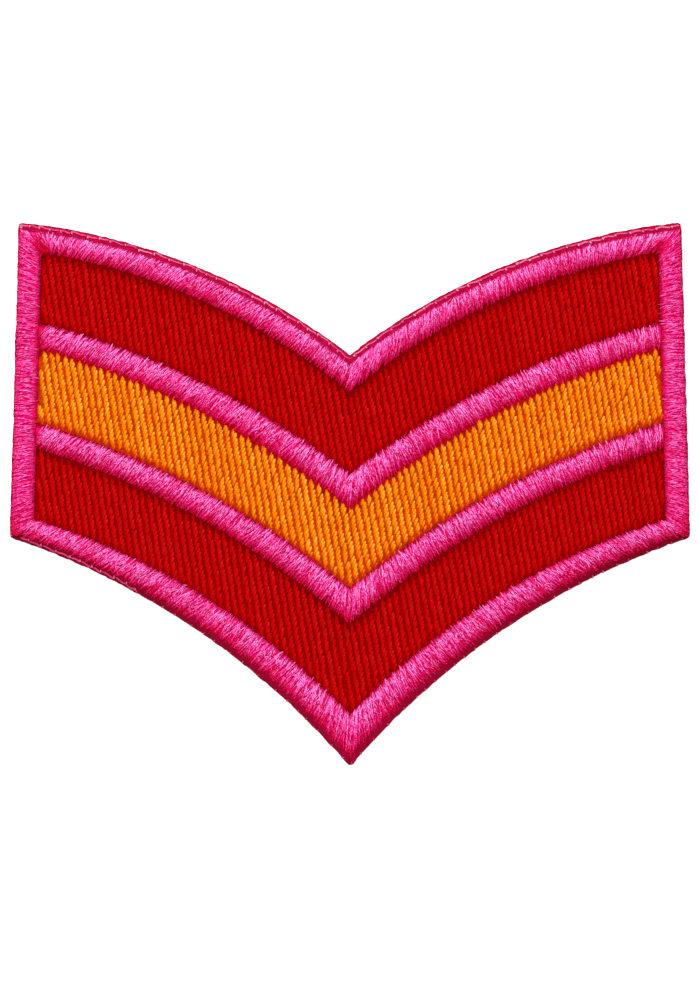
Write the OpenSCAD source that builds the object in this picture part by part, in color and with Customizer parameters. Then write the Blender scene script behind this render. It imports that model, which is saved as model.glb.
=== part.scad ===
// Rank stripe patch: an embroidered badge in the form of a broad V, lying flat with its face up.
// +Z is the way the face looks, +Y is the way the V opens, and the origin is the middle of the back.

/* [Outline] */
// Width across the two lower corners
patch_w = 90; // [86:0.5:94]
// Lean of each side, outward on its way down, in degrees
side_lean = 1.6; // [0:0.1:3]
// Radius of the five outer corners of the cut cloth
corner_r = 0.5; // [0.2:0.1:1]

/* [Ground cloth] */
// Thickness of the cloth that carries the stitching
cloth_t = 1; // [1:0.1:2]
// Bare cloth above the upper run of the border
rim_top = 0.9; // [0.4:0.1:1.2]
// Bare cloth below the lower run of the border
rim_bottom = 1.1; // [0.4:0.1:1.5]
// Bare cloth beside the border at each side
rim_side = 0.2; // [0.1:0.05:1]

/* [Satin stitch] */
// Height of the border and the dividers above the cloth
satin_t = 1.2; // [0.8:0.1:1.6]
// Width of the border along the two sides
side_band_w = 3; // [2.4:0.1:3.6]

/* [Fill stitch] */
// Height of the three coloured fields above the cloth
fill_t = 0.7; // [0.4:0.1:0.8]
// Clear space between neighbouring areas of stitching
stitch_gap = 0.1; // [0.05:0.05:0.3]

/* [Hidden] */

// Every long edge is one arc on the right half, bulging up, and its mirror image on the left half.
reach = 40;
MID_Y = 1;
REACH_Y = 2;
RADIUS = 3;
// name, height on the centre line, height at x = reach, radius of the arc
EDGES = [
    ["outline_top", 18.4, 35.5, 85],
    ["border_top_inner", 13.9, 32.2, 86],
    ["upper_divider_top", 2.65, 22.35, 115],
    ["upper_divider_bottom", -1.45, 19.3, 114],
    ["lower_divider_top", -12.55, 8.95, 121],
    ["lower_divider_bottom", -16.75, 6, 113],
    ["border_bottom_inner", -29.15, -3.9, 98],
    ["outline_bottom", -36.1, -7.55, 102],
];

arc_steps = 20;    // straight pieces along each arc of one half
corner_steps = 6;  // straight pieces round each outer corner
dome_steps = 8;    // straight pieces over the rounded back of a satin stitch
settle_steps = 6;  // rounds that find where an arc meets a side
band_inset = rim_side + side_band_w;
field_inset = band_inset + stitch_gap;

// Half width of the patch at height y, less an inset, measured from the lower corners
function corner_height() = height(arc("outline_bottom"), patch_w / 2);
function side_x(y, inset) = patch_w / 2 - tan(side_lean) * (y - corner_height()) - inset;

// An edge as [centre x, centre y, radius], grown upward by a distance
function row(name) = EDGES[search([name], EDGES)[0]];
function arc(name, grow = 0) = let (
    r = row(name),
    low = [0, r[MID_Y]],
    chord = [reach, r[REACH_Y]] - low,
    across = [chord.y, -chord.x] / norm(chord),
    depth = sqrt(r[RADIUS] ^ 2 - (norm(chord) / 2) ^ 2),
    centre = low + chord / 2 + across * depth
) [centre.x, centre.y, r[RADIUS] + grow];

function height(a, x) = a[1] + sqrt(a[2] ^ 2 - (x - a[0]) ^ 2);
function tangent(a, x) = let (v = [height(a, x) - a[1], a[0] - x]) v / norm(v);
function on_arc(a, x0, x1) = [
    for (i = [0:arc_steps]) let (x = x0 + (x1 - x0) * i / arc_steps) [x, height(a, x)]
];

// Where an arc meets the side line at an inset
function corner(a, inset, y = 0, rounds = settle_steps) =
    rounds == 0 ? [side_x(y, inset), y]
    : corner(a, inset, height(a, side_x(y, inset)), rounds - 1);

// Points round a corner p of radius r, between unit directions u (back along the path) and v (onward)
function rounded(p, u, v, r) = let (
    half = acos(u * v) / 2,
    setback = r / tan(half),
    c = p + (u + v) / norm(u + v) * r / sin(half),
    from = p + u * setback - c,
    to = p + v * setback - c,
    a0 = atan2(from.y, from.x),
    turn = atan2(cross(from, to), from * to)
) [for (i = [0:corner_steps]) let (a = a0 + turn * i / corner_steps) c + r * [cos(a), sin(a)]];

function mirrored(pts) = [for (i = [len(pts) - 1:-1:0]) if (pts[i].x > 0.001) [-pts[i].x, pts[i].y]];

// Right half of the cut outline, from the tip below, round by the side, to the notch above
function cloth_half() = let (
    low = arc("outline_bottom"),
    top = arc("outline_top"),
    tip = [0, height(low, 0)],
    out = tangent(low, 0),
    tip_arc = rounded(tip, [-out.x, out.y], out, corner_r),
    p = corner(low, 0),
    q = corner(top, 0),
    up = (q - p) / norm(q - p),
    p_in = -tangent(low, p.x),
    q_on = -tangent(top, q.x),
    p_arc = rounded(p, p_in, up, corner_r),
    q_arc = rounded(q, -up, q_on, corner_r)
) concat(
    [for (t = tip_arc) if (t.x > -0.001) t],
    [for (t = on_arc(low, tip_arc[corner_steps].x, p_arc[0].x)) if (t.x < p_arc[0].x - 0.001) t],
    p_arc,
    q_arc,
    [for (t = on_arc(top, q_arc[corner_steps].x, 0)) if (t.x < q_arc[corner_steps].x - 0.001) t]
);

// Outline of a field between two arcs
function field_outline(top, bottom) = let (
    half = concat(
        on_arc(bottom, 0, corner(bottom, field_inset).x),
        on_arc(top, corner(top, field_inset).x, 0)
    )
) concat(half, mirrored(half));

// A satin run is a row of stations, each with its outer (or lower) and its inner (or upper) end
function run(outer, inner, outer_x, inner_x) = [
    for (i = [0:arc_steps]) let (xo = outer_x * i / arc_steps, xi = inner_x * i / arc_steps)
        [[xo, height(outer, xo)], [xi, height(inner, xi)]]
];
function reversed(list) = [for (i = [len(list) - 1:-1:0]) list[i]];
function flipped(station) = [[-station[0].x, station[0].y], [-station[1].x, station[1].y]];

function dome(station) = [
    for (k = [0:dome_steps]) let (
        a = 180 * k / dome_steps,
        mid = (station[0] + station[1]) / 2,
        p = mid - (station[1] - station[0]) / 2 * cos(a)
    ) [p.x, p.y, cloth_t + satin_t * sin(a)]
];

// Solid of rounded section through the stations, closed on itself or ended with flat caps
module satin(stations, closed) {
    n = len(stations);
    m = dome_steps + 1;
    points = [for (s = stations) each dome(s)];
    sides = [
        for (i = [0:(closed ? n : n - 1) - 1], k = [0:m - 1]) let (
            j = (i + 1) % n,
            l = (k + 1) % m,
            a = i * m + k,
            b = i * m + l,
            c = j * m + l,
            d = j * m + k
        ) each [[a, b, c], [a, c, d]]
    ];
    caps = closed ? [] : [[for (k = [m - 1:-1:0]) k], [for (k = [0:m - 1]) (n - 1) * m + k]];
    polyhedron(points, concat(sides, caps));
}

module field(top_edge, bottom_edge) {
    top = arc(top_edge, -stitch_gap);
    bottom = arc(bottom_edge, stitch_gap);
    translate([0, 0, cloth_t])
        linear_extrude(fill_t)
            polygon(field_outline(top, bottom));
}

module divider(top_edge, bottom_edge) {
    top = arc(top_edge);
    bottom = arc(bottom_edge);
    right = run(bottom, top, corner(bottom, field_inset).x, corner(top, field_inset).x);
    left = [for (i = [arc_steps:-1:1]) flipped(right[i])];
    satin(concat(left, right), false);
}

module ground_cloth() {
    half = cloth_half();
    color("crimson")
        linear_extrude(cloth_t)
            polygon(concat(half, mirrored(half)));
}

module upper_field() {
    color("firebrick") field("border_top_inner", "upper_divider_top");
}

module middle_field() {
    color("darkorange") field("upper_divider_bottom", "lower_divider_top");
}

module lower_field() {
    color("firebrick") field("lower_divider_bottom", "border_bottom_inner");
}

module upper_divider() {
    color("hotpink") divider("upper_divider_top", "upper_divider_bottom");
}

module lower_divider() {
    color("hotpink") divider("lower_divider_top", "lower_divider_bottom");
}

module outer_border() {
    low_outer = arc("outline_bottom", rim_bottom);
    low_inner = arc("border_bottom_inner");
    top_outer = arc("outline_top", -rim_top);
    top_inner = arc("border_top_inner");
    low = run(low_outer, low_inner, corner(low_outer, rim_side).x, corner(low_inner, band_inset).x);
    top = run(top_outer, top_inner, corner(top_outer, rim_side).x, corner(top_inner, band_inset).x);
    right = concat(low, reversed(top));
    left = [for (i = [len(right) - 2:-1:1]) flipped(right[i])];
    color("hotpink") satin(concat(right, left), true);
}

ground_cloth();
upper_field();
middle_field();
lower_field();
upper_divider();
lower_divider();
outer_border();
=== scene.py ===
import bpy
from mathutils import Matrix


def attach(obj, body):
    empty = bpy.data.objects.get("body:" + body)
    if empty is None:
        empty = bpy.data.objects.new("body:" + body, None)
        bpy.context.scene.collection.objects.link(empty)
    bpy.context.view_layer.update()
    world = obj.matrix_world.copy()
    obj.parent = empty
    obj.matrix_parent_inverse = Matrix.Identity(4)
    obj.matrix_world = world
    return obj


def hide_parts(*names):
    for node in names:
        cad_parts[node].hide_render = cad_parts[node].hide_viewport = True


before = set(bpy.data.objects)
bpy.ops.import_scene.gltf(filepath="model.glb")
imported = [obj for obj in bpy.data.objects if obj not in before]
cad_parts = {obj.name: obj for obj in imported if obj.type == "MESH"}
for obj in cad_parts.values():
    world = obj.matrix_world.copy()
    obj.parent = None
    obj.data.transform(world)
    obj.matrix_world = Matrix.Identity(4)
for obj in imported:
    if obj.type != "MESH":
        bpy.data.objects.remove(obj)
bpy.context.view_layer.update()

import math

import bpy
import numpy as np
from mathutils import Vector
from mathutils.geometry import tessellate_polygon

# Ground cloth
# The cut shape that carries all the stitching: crimson polyester twill on a stiff backing, 1 mm thick.
# It is cut out hot after the stitching, so its rim is bare twill and its edge is a melted bead. Along the
# foot the knife has drawn the rim down, and painted shade darkens that rim and the bead beside it.

MM = 0.001
PATCH_WIDTH = 90.0
SIDE_LEAN = 1.6
CORNER_RADIUS = 0.5
CLOTH_THICKNESS = 1.0
RIM_BOTTOM = 1.1
REACH = 40.0
# The tightest bend of an outline, and the rounds that find where an edge meets a side
SMALLEST_BEND = 0.06
SETTLE_ROUNDS = 8
# Points along the foot, side and top of half the outline, and round each bend
LOW_STEPS = 300
SIDE_STEPS = 210
TOP_STEPS = 270
BEND_STEPS = 9

# Each long edge: its height on the centre line, its height at x = REACH and the radius of its arc
EDGES = {
    "outline_top": (18.4, 35.5, 85),
    "border_top_inner": (13.9, 32.2, 86),
    "upper_divider_top": (2.65, 22.35, 115),
    "upper_divider_bottom": (-1.45, 19.3, 114),
    "lower_divider_top": (-12.55, 8.95, 121),
    "lower_divider_bottom": (-16.75, 6, 113),
    "border_bottom_inner": (-29.15, -3.9, 98),
    "outline_bottom": (-36.1, -7.55, 102),
}


def edge_arc(name, grow=0.0):
    """Centre and radius of one long edge, moved up by a distance."""
    low, high, radius = EDGES[name]
    rise = high - low
    chord = math.hypot(REACH, rise)
    depth = math.sqrt(radius**2 - (chord / 2) ** 2)
    x = REACH / 2 + rise / chord * depth
    y = low + rise / 2 - REACH / chord * depth
    return x, y, radius + grow


def edge_height(arc, x):
    """Height of an edge at x; the left half mirrors the right."""
    return arc[1] + np.sqrt(arc[2] ** 2 - (np.abs(x) - arc[0]) ** 2)


def above_edge(arc, x, y):
    """How far a point lies above an edge, square to it."""
    return np.hypot(np.abs(x) - arc[0], y - arc[1]) - arc[2]


CORNER_HEIGHT = float(edge_height(edge_arc("outline_bottom"), PATCH_WIDTH / 2))


def half_width(y, inset=0.0):
    """Half the width of the patch at a height, less an inset."""
    return PATCH_WIDTH / 2 - math.tan(math.radians(SIDE_LEAN)) * (y - CORNER_HEIGHT) - inset


def side_corner(arc, inset):
    """Where an edge meets the side line at an inset."""
    y = 0.0
    for _ in range(SETTLE_ROUNDS):
        y = float(edge_height(arc, half_width(y, inset)))
    return np.array([half_width(y, inset), y])


def rounded(corner, back, onward, radius, steps):
    """Points round a corner between the unit directions back along the path and onward."""
    half = math.acos(float(back @ onward)) / 2
    middle = corner + (back + onward) / np.linalg.norm(back + onward) * radius / math.sin(half)
    start = corner + back * radius / math.tan(half) - middle
    end = corner + onward * radius / math.tan(half) - middle
    first = math.atan2(start[1], start[0])
    turn = math.atan2(start[0] * end[1] - start[1] * end[0], float(start @ end))
    angles = first + turn * np.linspace(0, 1, steps)
    return middle + radius * np.stack([np.cos(angles), np.sin(angles)], axis=1)


def along_edge(arc, x0, x1, steps):
    """Points along an edge from one x to another."""
    x = np.linspace(x0, x1, steps)
    return np.stack([x, edge_height(arc, x)], axis=1)


def run_direction(arc, x):
    """Unit direction of an edge on the right half, going right."""
    out = np.array([edge_height(arc, x) - arc[1], arc[0] - x])
    return out / np.linalg.norm(out)


def cut_outline(inset):
    """The closed outline at an inset, with the same number of points whatever the inset."""
    low, top = edge_arc("outline_bottom", inset), edge_arc("outline_top", -inset)
    radius = max(CORNER_RADIUS - inset, SMALLEST_BEND)
    tip = np.array([0.0, float(edge_height(low, 0))])
    out = run_direction(low, 0)
    tip_bend = rounded(tip, out * (-1, 1), out, radius, 2 * BEND_STEPS - 1)[BEND_STEPS - 1:]
    low_corner, top_corner = side_corner(low, inset), side_corner(top, inset)
    up = (top_corner - low_corner) / np.linalg.norm(top_corner - low_corner)
    low_bend = rounded(low_corner, -run_direction(low, low_corner[0]), up, radius, BEND_STEPS)
    top_bend = rounded(top_corner, -up, -run_direction(top, top_corner[0]), radius, BEND_STEPS)
    half = np.concatenate([
        tip_bend,
        along_edge(low, tip_bend[-1][0], low_bend[0][0], LOW_STEPS)[1:-1],
        low_bend,
        np.linspace(low_bend[-1], top_bend[0], SIDE_STEPS)[1:-1],
        top_bend,
        along_edge(top, top_bend[-1][0], 0.0, TOP_STEPS)[1:],
    ])
    return np.concatenate([half, half[-2:0:-1] * (-1, 1)])


def outward_of(ring):
    """Unit directions out of a closed outline, one for each of its points."""
    onward = np.roll(ring, -1, axis=0) - np.roll(ring, 1, axis=0)
    outward = np.stack([onward[:, 1], -onward[:, 0]], axis=1)
    return outward / np.linalg.norm(outward, axis=1)[:, None]


def smooth_noise(rng, count, step):
    """A closed run of count values around 0 that turn about every step places."""
    knots = max(4, round(count / step))
    values = rng.normal(size=knots)
    values = np.append(values, values[0])
    place = np.arange(count) / count * knots
    left = place.astype(int)
    share = place - left
    share = share * share * (3 - 2 * share)
    return values[left] * (1 - share) + values[left + 1] * share


# Which way the ribs of the twill and the yarns that cross them repeat, and how often in mm
RIB_WAY = (0.83, 0.56)
RIB_PITCH = 0.42
PICK_WAY = (0.31, -0.95)
PICK_PITCH = 0.36


def twill(x, y):
    """Height of the twill ribs at a point, from 0 to 1."""
    rib = np.sin(2 * math.pi * (x * RIB_WAY[0] + y * RIB_WAY[1]) / RIB_PITCH)
    pick = np.sin(2 * math.pi * (x * PICK_WAY[0] + y * PICK_WAY[1]) / PICK_PITCH)
    return 0.5 + 0.36 * rib + 0.14 * rib * pick


def joined_mesh(name, points, faces, marks=None):
    """A mesh object from points in mm and faces given as arrays of corner numbers."""
    mesh = bpy.data.meshes.new(name)
    points = np.asarray(points, np.float32) * MM
    corners = np.concatenate([np.asarray(f, np.int32).ravel() for f in faces])
    totals = np.concatenate([np.full(len(f), np.shape(f)[1], np.int32) for f in faces])
    mesh.vertices.add(len(points))
    mesh.vertices.foreach_set("co", points.ravel())
    mesh.loops.add(len(corners))
    mesh.loops.foreach_set("vertex_index", corners)
    mesh.polygons.add(len(totals))
    mesh.polygons.foreach_set("loop_start", np.concatenate([[0], np.cumsum(totals)[:-1]]))
    mesh.polygons.foreach_set("loop_total", totals)
    mesh.polygons.foreach_set("use_smooth", np.ones(len(totals), bool))
    for key, values in (marks or {}).items():
        mark = mesh.attributes.new(key, "FLOAT", "POINT")
        mark.data.foreach_set("value", np.asarray(values, np.float32))
    mesh.update()
    mesh.validate()
    made = bpy.data.objects.new(name, mesh)
    bpy.context.scene.collection.objects.link(made)
    return made


rng = np.random.default_rng(11)
ring_size = len(cut_outline(0.0))
edge_wander = 0.03 * smooth_noise(rng, ring_size, 5) + 0.02 * smooth_noise(rng, ring_size, 2)
edge_lift = 0.03 * smooth_noise(rng, ring_size, 7)

# The section of the cloth from the middle of its back, round its melted edge, to the middle of its face:
# how far in from the cut, how high, how much of the edge's wander it takes and how much of the twill.
SECTION = [
    (3, 0, 0, 0), (1, 0, 0, 0), (0.3, 0, 0.3, 0), (0.1, 0.02, 1, 0), (0.02, 0.12, 1, 0), (0, 0.3, 1, 0),
    (0.01, 0.55, 1, 0), (-0.01, 0.78, 1, 0), (0, 0.9, 1, 0), (0.04, 0.98, 1, 0), (0.1, 1, 1, 0),
    (0.17, 0.97, 0.7, 0.2), (0.24, 0.94, 0.5, 0.7), (0.32, 0.93, 0.3, 1), (0.41, 0.93, 0.2, 1),
    (0.5, 0.93, 0.1, 1), *((inset, 0.93, 0, 1) for inset in (0.59, 0.68, 0.77, 0.86, 0.95, 1.05)),
    (1.2, 0.94, 0, 0.6), (1.6, 0.95, 0, 0), (3, 0.95, 0, 0),
]
TWILL_DEPTH = 0.07
# How far the rim is drawn down at the foot, as a share of the cloth's thickness
FOOT_RIM_DROP = 0.4
# How melted the bead is, how much more painted shade it gets facing south, how far in it ends and fades
BEAD_MELT = 0.72
BEAD_FOOT_SHADE = 0.28
BEAD_END = 0.2
BEAD_FADE = 0.14
# The same for the painted shade on the rim along the foot
RIM_FOOT_SHADE = 0.92
RIM_FOOT_SHADE_END = 1.25
RIM_FOOT_SHADE_FADE = 0.6


def rim_level(south, inset):
    """Height of the rim's face as a share of the cloth's: it falls to the edge where that faces south."""
    return 1 - FOOT_RIM_DROP * np.clip(south, 0, 1) * np.clip(1 - inset / RIM_BOTTOM, 0, 1)


rings, melt_and_shade_marks = [], []
for inset, high, wander, weave in SECTION:
    ring = cut_outline(inset)
    outward = outward_of(ring)
    ring = ring + outward * (edge_wander * wander)[:, None]
    z = high + edge_lift * wander * (high > 0.5) + TWILL_DEPTH * weave * twill(ring[:, 0], ring[:, 1])
    south = np.clip(-outward[:, 1], 0, 1)
    rings.append(np.column_stack([ring, z * rim_level(south, inset)]))
    # Painted shade: the bead darkens more where it faces south, and the rim along the foot darkens too
    bead = np.clip((BEAD_END - inset) / BEAD_FADE, 0, 1)
    rim_foot_shade = RIM_FOOT_SHADE * south * np.clip((RIM_FOOT_SHADE_END - inset) / RIM_FOOT_SHADE_FADE, 0, 1)
    melt_and_shade_marks.append(np.maximum((BEAD_MELT + BEAD_FOOT_SHADE * south) * bead, rim_foot_shade) * (high > 0))

cloth_points = np.concatenate(rings)
around = np.arange(ring_size)
cloth_faces = []
for i in range(len(rings) - 1):
    a, b = i * ring_size + around, i * ring_size + (around + 1) % ring_size
    cloth_faces.append(np.stack([a, b, b + ring_size, a + ring_size], axis=1))
# Triangles fill the middles of the back, looking down, and of the face
for first, flip in ((0, True), ((len(rings) - 1) * ring_size, False)):
    rim = [Vector((float(x), float(y), 0)) for x, y in cloth_points[first:first + ring_size, :2]]
    middle = np.array(tessellate_polygon([rim]))
    a, b, c = (cloth_points[middle[:, k], :2] for k in range(3))
    turned = (b[:, 0] - a[:, 0]) * (c[:, 1] - a[:, 1]) - (b[:, 1] - a[:, 1]) * (c[:, 0] - a[:, 0])
    swap = (turned > 0) == flip
    middle[swap] = middle[swap][:, ::-1]
    cloth_faces.append(middle + first)
ground_cloth = joined_mesh(
    "ground_cloth_twill", cloth_points, cloth_faces, {"melt_and_shade": np.concatenate(melt_and_shade_marks)}
)


def hex_colour(code):
    """An sRGB hex colour as linear red, green, blue and alpha."""
    parts = [int(code[i:i + 2], 16) / 255 for i in (0, 2, 4)]
    return [p / 12.92 if p <= 0.04045 else ((p + 0.055) / 1.055) ** 2.4 for p in parts] + [1.0]


def fill_sockets(tree, node, sockets):
    """Fills the sockets of a node with values, outputs or the first outputs of other nodes."""
    for key, value in sockets.items():
        if isinstance(value, bpy.types.Node):
            value = value.outputs[0]
        if isinstance(value, bpy.types.NodeSocket):
            tree.links.new(value, node.inputs[key])
        else:
            node.inputs[key].default_value = value


def add_node(tree, kind, sockets=None, **settings):
    """Adds a shader node with its settings and fills its sockets."""
    made = tree.nodes.new("ShaderNode" + kind)
    for key, value in settings.items():
        setattr(made, key, value)
    fill_sockets(tree, made, sockets or {})
    return made


def colour_steps(tree, amount, steps):
    """A colour ramp through (place, hex) steps, driven by an amount."""
    made = add_node(tree, "ValToRGB", {"Fac": amount})
    ramp = made.color_ramp
    while len(ramp.elements) < len(steps):
        ramp.elements.new(0.5)
    for element, (place, code) in zip(ramp.elements, steps):
        element.position = place
        element.color = hex_colour(code)
    return made


def new_material(name):
    """An empty material: its node tree and its shader, joined to the output."""
    made = bpy.data.materials.new(name)
    made.use_nodes = True
    made.node_tree.nodes.clear()
    shader = add_node(made.node_tree, "BsdfPrincipled")
    add_node(made.node_tree, "OutputMaterial", {"Surface": shader})
    return made, made.node_tree, shader


# Polyester twill, piece-dyed and cut with a hot knife: fine slanting ribs in crimson, turning to a deeper
# maroon where the fibres have melted and where painted shade lies on the rim along the foot. Real twill
# ribs are 0.25 mm; these are 0.42 mm to show.
TWILL_TURN = math.radians(34)
hot_cut_polyester_twill, tree, shader = new_material("hot_cut_polyester_twill")
melt_and_shade = add_node(tree, "Attribute", attribute_name="melt_and_shade").outputs["Fac"]
place = add_node(tree, "TexCoord").outputs["Object"]
yarn = add_node(tree, "Mapping", {"Vector": place, "Rotation": (0, 0, TWILL_TURN), "Scale": (2400, 700, 1)})
yarn_noise = add_node(tree, "TexNoise", {"Vector": yarn, "Scale": 1.0, "Detail": 2.0})
dye = colour_steps(tree, yarn_noise, [(0.3, "9C0030"), (0.5, "B80042"), (0.72, "CC0852")])
# These maroons serve both the melted bead and the painted shade along the foot
melted_and_shaded = colour_steps(tree, melt_and_shade, [(0.8, "6C000A"), (1.0, "4C000E")])
cloth_colour = add_node(tree, "MixRGB", {"Fac": melt_and_shade, "Color1": dye, "Color2": melted_and_shaded})
ribs = add_node(tree, "Mapping", {"Vector": place, "Rotation": (0, 0, -TWILL_TURN), "Scale": (1, 1, 0)})
# A wave texture of scale 1 repeats every 2 pi / 20 metres
rib_wave = add_node(
    tree, "TexWave", {"Vector": ribs, "Scale": 2 * math.pi / 20 / (RIB_PITCH * MM), "Distortion": 0.6},
    wave_type="BANDS", bands_direction="X",
)
yarn_height = add_node(tree, "Math", {0: yarn_noise, 1: rib_wave.outputs["Fac"]}, operation="ADD")
cloth_bump = add_node(tree, "Bump", {"Height": yarn_height, "Strength": 0.6, "Distance": 0.03 * MM})
fill_sockets(tree, shader, {
    "Base Color": cloth_colour, "Normal": cloth_bump, "Roughness": 0.62, "Specular IOR Level": 0.04,
    "Sheen Weight": 0.02, "Sheen Roughness": 0.4, "Sheen Tint": hex_colour("FF6A8C"),
})
ground_cloth.data.materials.append(hot_cut_polyester_twill)

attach(ground_cloth, "root")
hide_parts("ground_cloth")

# Fields of fill stitch
# Three stripes of heavy thread, red, orange and red, worked as rows of stem stitch over a flat bed: each
# row is a slanting column of short plump stitches that cross it from its left edge to its right, close
# behind one another. The top of a column ends in fine points, and its foot runs under the satin below.

# How far in from the sides of the patch the border ends and a field begins
RIM_SIDE = 0.2
BORDER_WIDTH = 3.0
STITCH_GAP = 0.1
BORDER_INSET = RIM_SIDE + BORDER_WIDTH
FIELD_INSET = BORDER_INSET + STITCH_GAP
# Distance between columns and their lean in degrees, at places along the x axis
COLUMN_PITCH_AT = ([-40, -20, 0, 20, 32, 42], [0.885, 0.905, 0.92, 0.915, 0.88, 0.85])
COLUMN_LEAN_AT = ([-40, -20, -5, 12, 24, 40], [9.2, 9.4, 10.5, 11.3, 10.6, 10.0])
FIRST_COLUMN = -48.0
LAST_COLUMN = 50.0
# Stitches of the orange and of the red columns: length, step from one to the next, radius, swing to either
# side of the column, how much painted highlight brightens each from its start to its tip, how far below the
# satin the column begins, over what length it rises there, how much painted shadow of the satin darkens it
# where it begins, and how much painted shade darkens it at its foot
ORANGE_STITCH = {
    "length": 1.1, "step": 0.6, "radius": 0.25, "swing": 0.3, "tip_highlight": 0.85,
    "clear": 0.54, "rise": 0.42, "top_shadow": 0.45, "foot": 1.4,
}
RED_STITCH = {
    "length": 1.2, "step": 0.62, "radius": 0.28, "swing": 0.26, "tip_highlight": 0.8,
    "clear": 0.7, "rise": 1.25, "top_shadow": 0.8, "foot": 0.5,
}
# Along one stitch: share of its length, drop below its crown and share of its full thickness
STITCH_SHARE = np.array([0.0, 0.15, 0.4, 0.68, 0.88, 1.0])
STITCH_DROP = np.array([0.17, 0.09, 0.01, 0.0, 0.04, 0.13])
STITCH_BODY = np.array([0.65, 0.92, 1.0, 0.98, 0.84, 0.5])
CROWN_HEIGHT = 0.4
SHORTEST_STITCH = 0.45
# The fewest samples, 0.02 mm apart, of a column that is worked
SHORTEST_COLUMN = 60
# How far stitches sink at the top and at the foot of a column, and over what length at the foot
TOP_DROP = 0.22
FOOT_DROP = 0.08
FOOT_LENGTH = 1.4
# A column narrows to this share of its width over this length at its top
TOP_WIDTH = 0.35
TOP_TAPER = 0.65
# How much the tint varies with the column and with the stitch
COLUMN_VARIETY = 0.16
STITCH_VARIETY = 0.25
# The fine points at the top of a column: places across it, length and radius
POINT_PLACES = (-0.9, -0.1, 0.8)
POINT_LENGTH = 0.85
POINT_RADIUS = 0.1
# Section of the bed under a field: shares across it, heights, and where its colour is the deep one, painted
# shadow of the satin above
BED_ACROSS = [0, 0, 0.2, 0.84, 0.9, 1, 1]
BED_SECTION = [0, 0.5, 0.34, 0.3, 0.2, 0.2, 0]
BED_SHADE = [0, 0, 0, 0, 1, 1, 1]
# Corners of a thread's cross-section, with the seam underneath
HEAVY_RING = np.radians([-90, 0, 60, 120, 180])
SLIM_RING = np.radians([-90, 0, 90, 180])


def run_lengths(points):
    """Distance along a run of points at each of them."""
    return np.concatenate([[0], np.cumsum(np.linalg.norm(np.diff(points, axis=0), axis=1))])


class ThreadStore:
    """Gathers threads until they are joined into one mesh."""

    def __init__(self):
        self.points, self.sides, self.caps = [], [], []
        self.along, self.around, self.tint = [], [], []
        self.count = 0

    def lay(self, path, radius, tint, start, ring=SLIM_RING):
        """Adds one thread: a closed tube round a path, with its ring square to the path."""
        path = np.asarray(path, float)
        n, m = len(path), len(ring)
        run = np.gradient(path, axis=0)
        run /= np.linalg.norm(run, axis=1)[:, None]
        heading = path[-1] - path[0]
        across = np.array([-heading[1], heading[0], 0.0])
        across /= np.linalg.norm(across)
        up = np.cross(run, across)
        up /= np.linalg.norm(up, axis=1)[:, None]
        side = np.cross(up, run)
        spoke = np.cos(ring)[None, :, None] * side[:, None] + np.sin(ring)[None, :, None] * up[:, None]
        reach = np.broadcast_to(radius, n)[:, None, None]
        self.points.append((path[:, None] + reach * spoke).reshape(-1, 3))
        first = self.count + np.arange(n - 1)[:, None] * m
        k = np.arange(m)[None, :]
        a, b = first + k, first + (k + 1) % m
        self.sides.append(np.stack([a, b, b + m, a + m], axis=-1).reshape(-1, 4))
        last = self.count + (n - 1) * m
        self.caps.append(np.array([range(self.count + m - 1, self.count - 1, -1), range(last, last + m)]))
        self.along.append(np.repeat(run_lengths(path) + start, m))
        self.around.append(np.tile(np.degrees(ring) / 360, n))
        self.tint.append(np.repeat(np.broadcast_to(tint, n), m))
        self.count += n * m

    def join(self, name, under=((), ()), shade_share=0.0):
        """One mesh of the threads and the solid (points, faces) under them, with how much painted shade
        deepens its colour.
        """
        caps = {}
        for pair in self.caps:
            caps.setdefault(pair.shape[1], []).append(pair)
        faces = [np.concatenate(self.sides)] + [np.concatenate(same) for same in caps.values()]
        faces += [np.asarray(f) + self.count for f in under[1]]
        spare = np.zeros(len(under[0]))
        marks = {
            "along": np.concatenate(self.along + [spare]),
            "around": np.concatenate(self.around + [spare]),
            "tint": np.concatenate(self.tint + [spare - 1 - shade_share]),
        }
        return joined_mesh(name, np.concatenate(self.points + [np.reshape(under[0], (-1, 3))]), faces, marks)


def bar(lower, upper, across, high, closed):
    """A solid bar through rows of lower and upper ends; its section is shares across and heights."""
    n, m = len(lower), len(across)
    share = np.asarray(across)[None, :, None]
    points = lower[:, None] * (1 - share) + upper[:, None] * share
    level = np.broadcast_to((CLOTH_THICKNESS + np.asarray(high))[None, :, None], (n, m, 1))
    points = np.concatenate([points, level], axis=2)
    i = np.arange(n if closed else n - 1)[:, None]
    k = np.arange(m)[None, :]
    a, b = i * m + k, i * m + (k + 1) % m
    c, d = (i + 1) % n * m + (k + 1) % m, (i + 1) % n * m + k
    faces = [np.stack([a, b, c, d], axis=-1).reshape(-1, 4)]
    if not closed:
        faces.append([list(range(m - 1, -1, -1)), list(range((n - 1) * m, n * m))])
    return points.reshape(-1, 3), faces


def edge_row(edge, grow, inset, steps=161):
    """A row of points along an edge moved up by a distance, from side to side at an inset."""
    arc = edge_arc(edge, grow)
    x = side_corner(arc, inset)[0] * np.linspace(-1, 1, steps)
    return np.column_stack([x, edge_height(arc, x)])


def column_ends(x_axis, slant, top, bottom):
    """Heights where a slanting column meets the edges above and below it, or a side."""
    y = np.linspace(-40, 40, 4001)
    x = x_axis - slant * y
    inside = (above_edge(top, x, y) < 0) & (above_edge(bottom, x, y) > 0)
    inside &= np.abs(x) < half_width(y, FIELD_INSET + 0.16)
    if inside.sum() < SHORTEST_COLUMN:
        return None
    return y[inside].max(), y[inside].min()


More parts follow.
